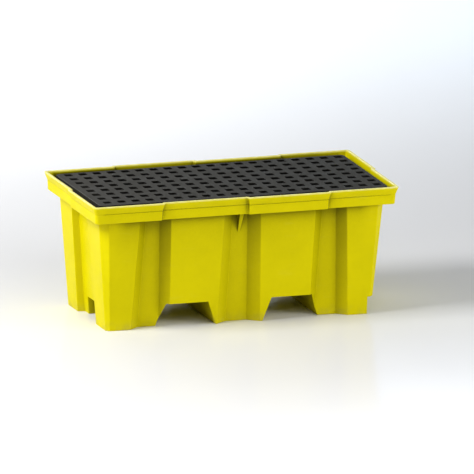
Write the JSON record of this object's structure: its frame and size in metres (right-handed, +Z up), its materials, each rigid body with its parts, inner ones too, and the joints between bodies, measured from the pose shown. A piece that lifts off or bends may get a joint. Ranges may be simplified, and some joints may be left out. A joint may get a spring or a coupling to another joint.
{
  "type": "spill containment pallet",
  "caption": "Low rectangular spill pallet: a moulded sump tub with a stepped rim and fork passages, under a lift-off perforated deck on hollow columns.",
  "frame": {"origin": "centre of the footprint, on the surface that the tub's feet stand on", "axes": "+X along the long side, towards the end with the toe step; +Y towards the back long side; +Z up"},
  "size_m": [1.3, 0.65, 0.532],
  "materials": {
    "yellow_polyethylene": "satin rotational moulding, fine orange-peel",
    "black_polyethylene": "matt moulded",
    "grey_polyethylene": "matt moulded"
  },
  "bodies": {
    "sump": {"sump_tub": "yellow_polyethylene"},
    "deck": {"deck_grid": "black_polyethylene", "deck_column_1": "grey_polyethylene", "deck_column_2": "grey_polyethylene", "deck_column_3": "grey_polyethylene", "deck_column_4": "grey_polyethylene", "deck_column_5": "grey_polyethylene", "deck_column_6": "grey_polyethylene"}
  },
  "joints": [
    {"name": "deck_lift", "type": "slide", "parent": "sump", "child": "deck", "axis": [0, 0, 1], "range_m": [0, 0.45]}
  ]
}
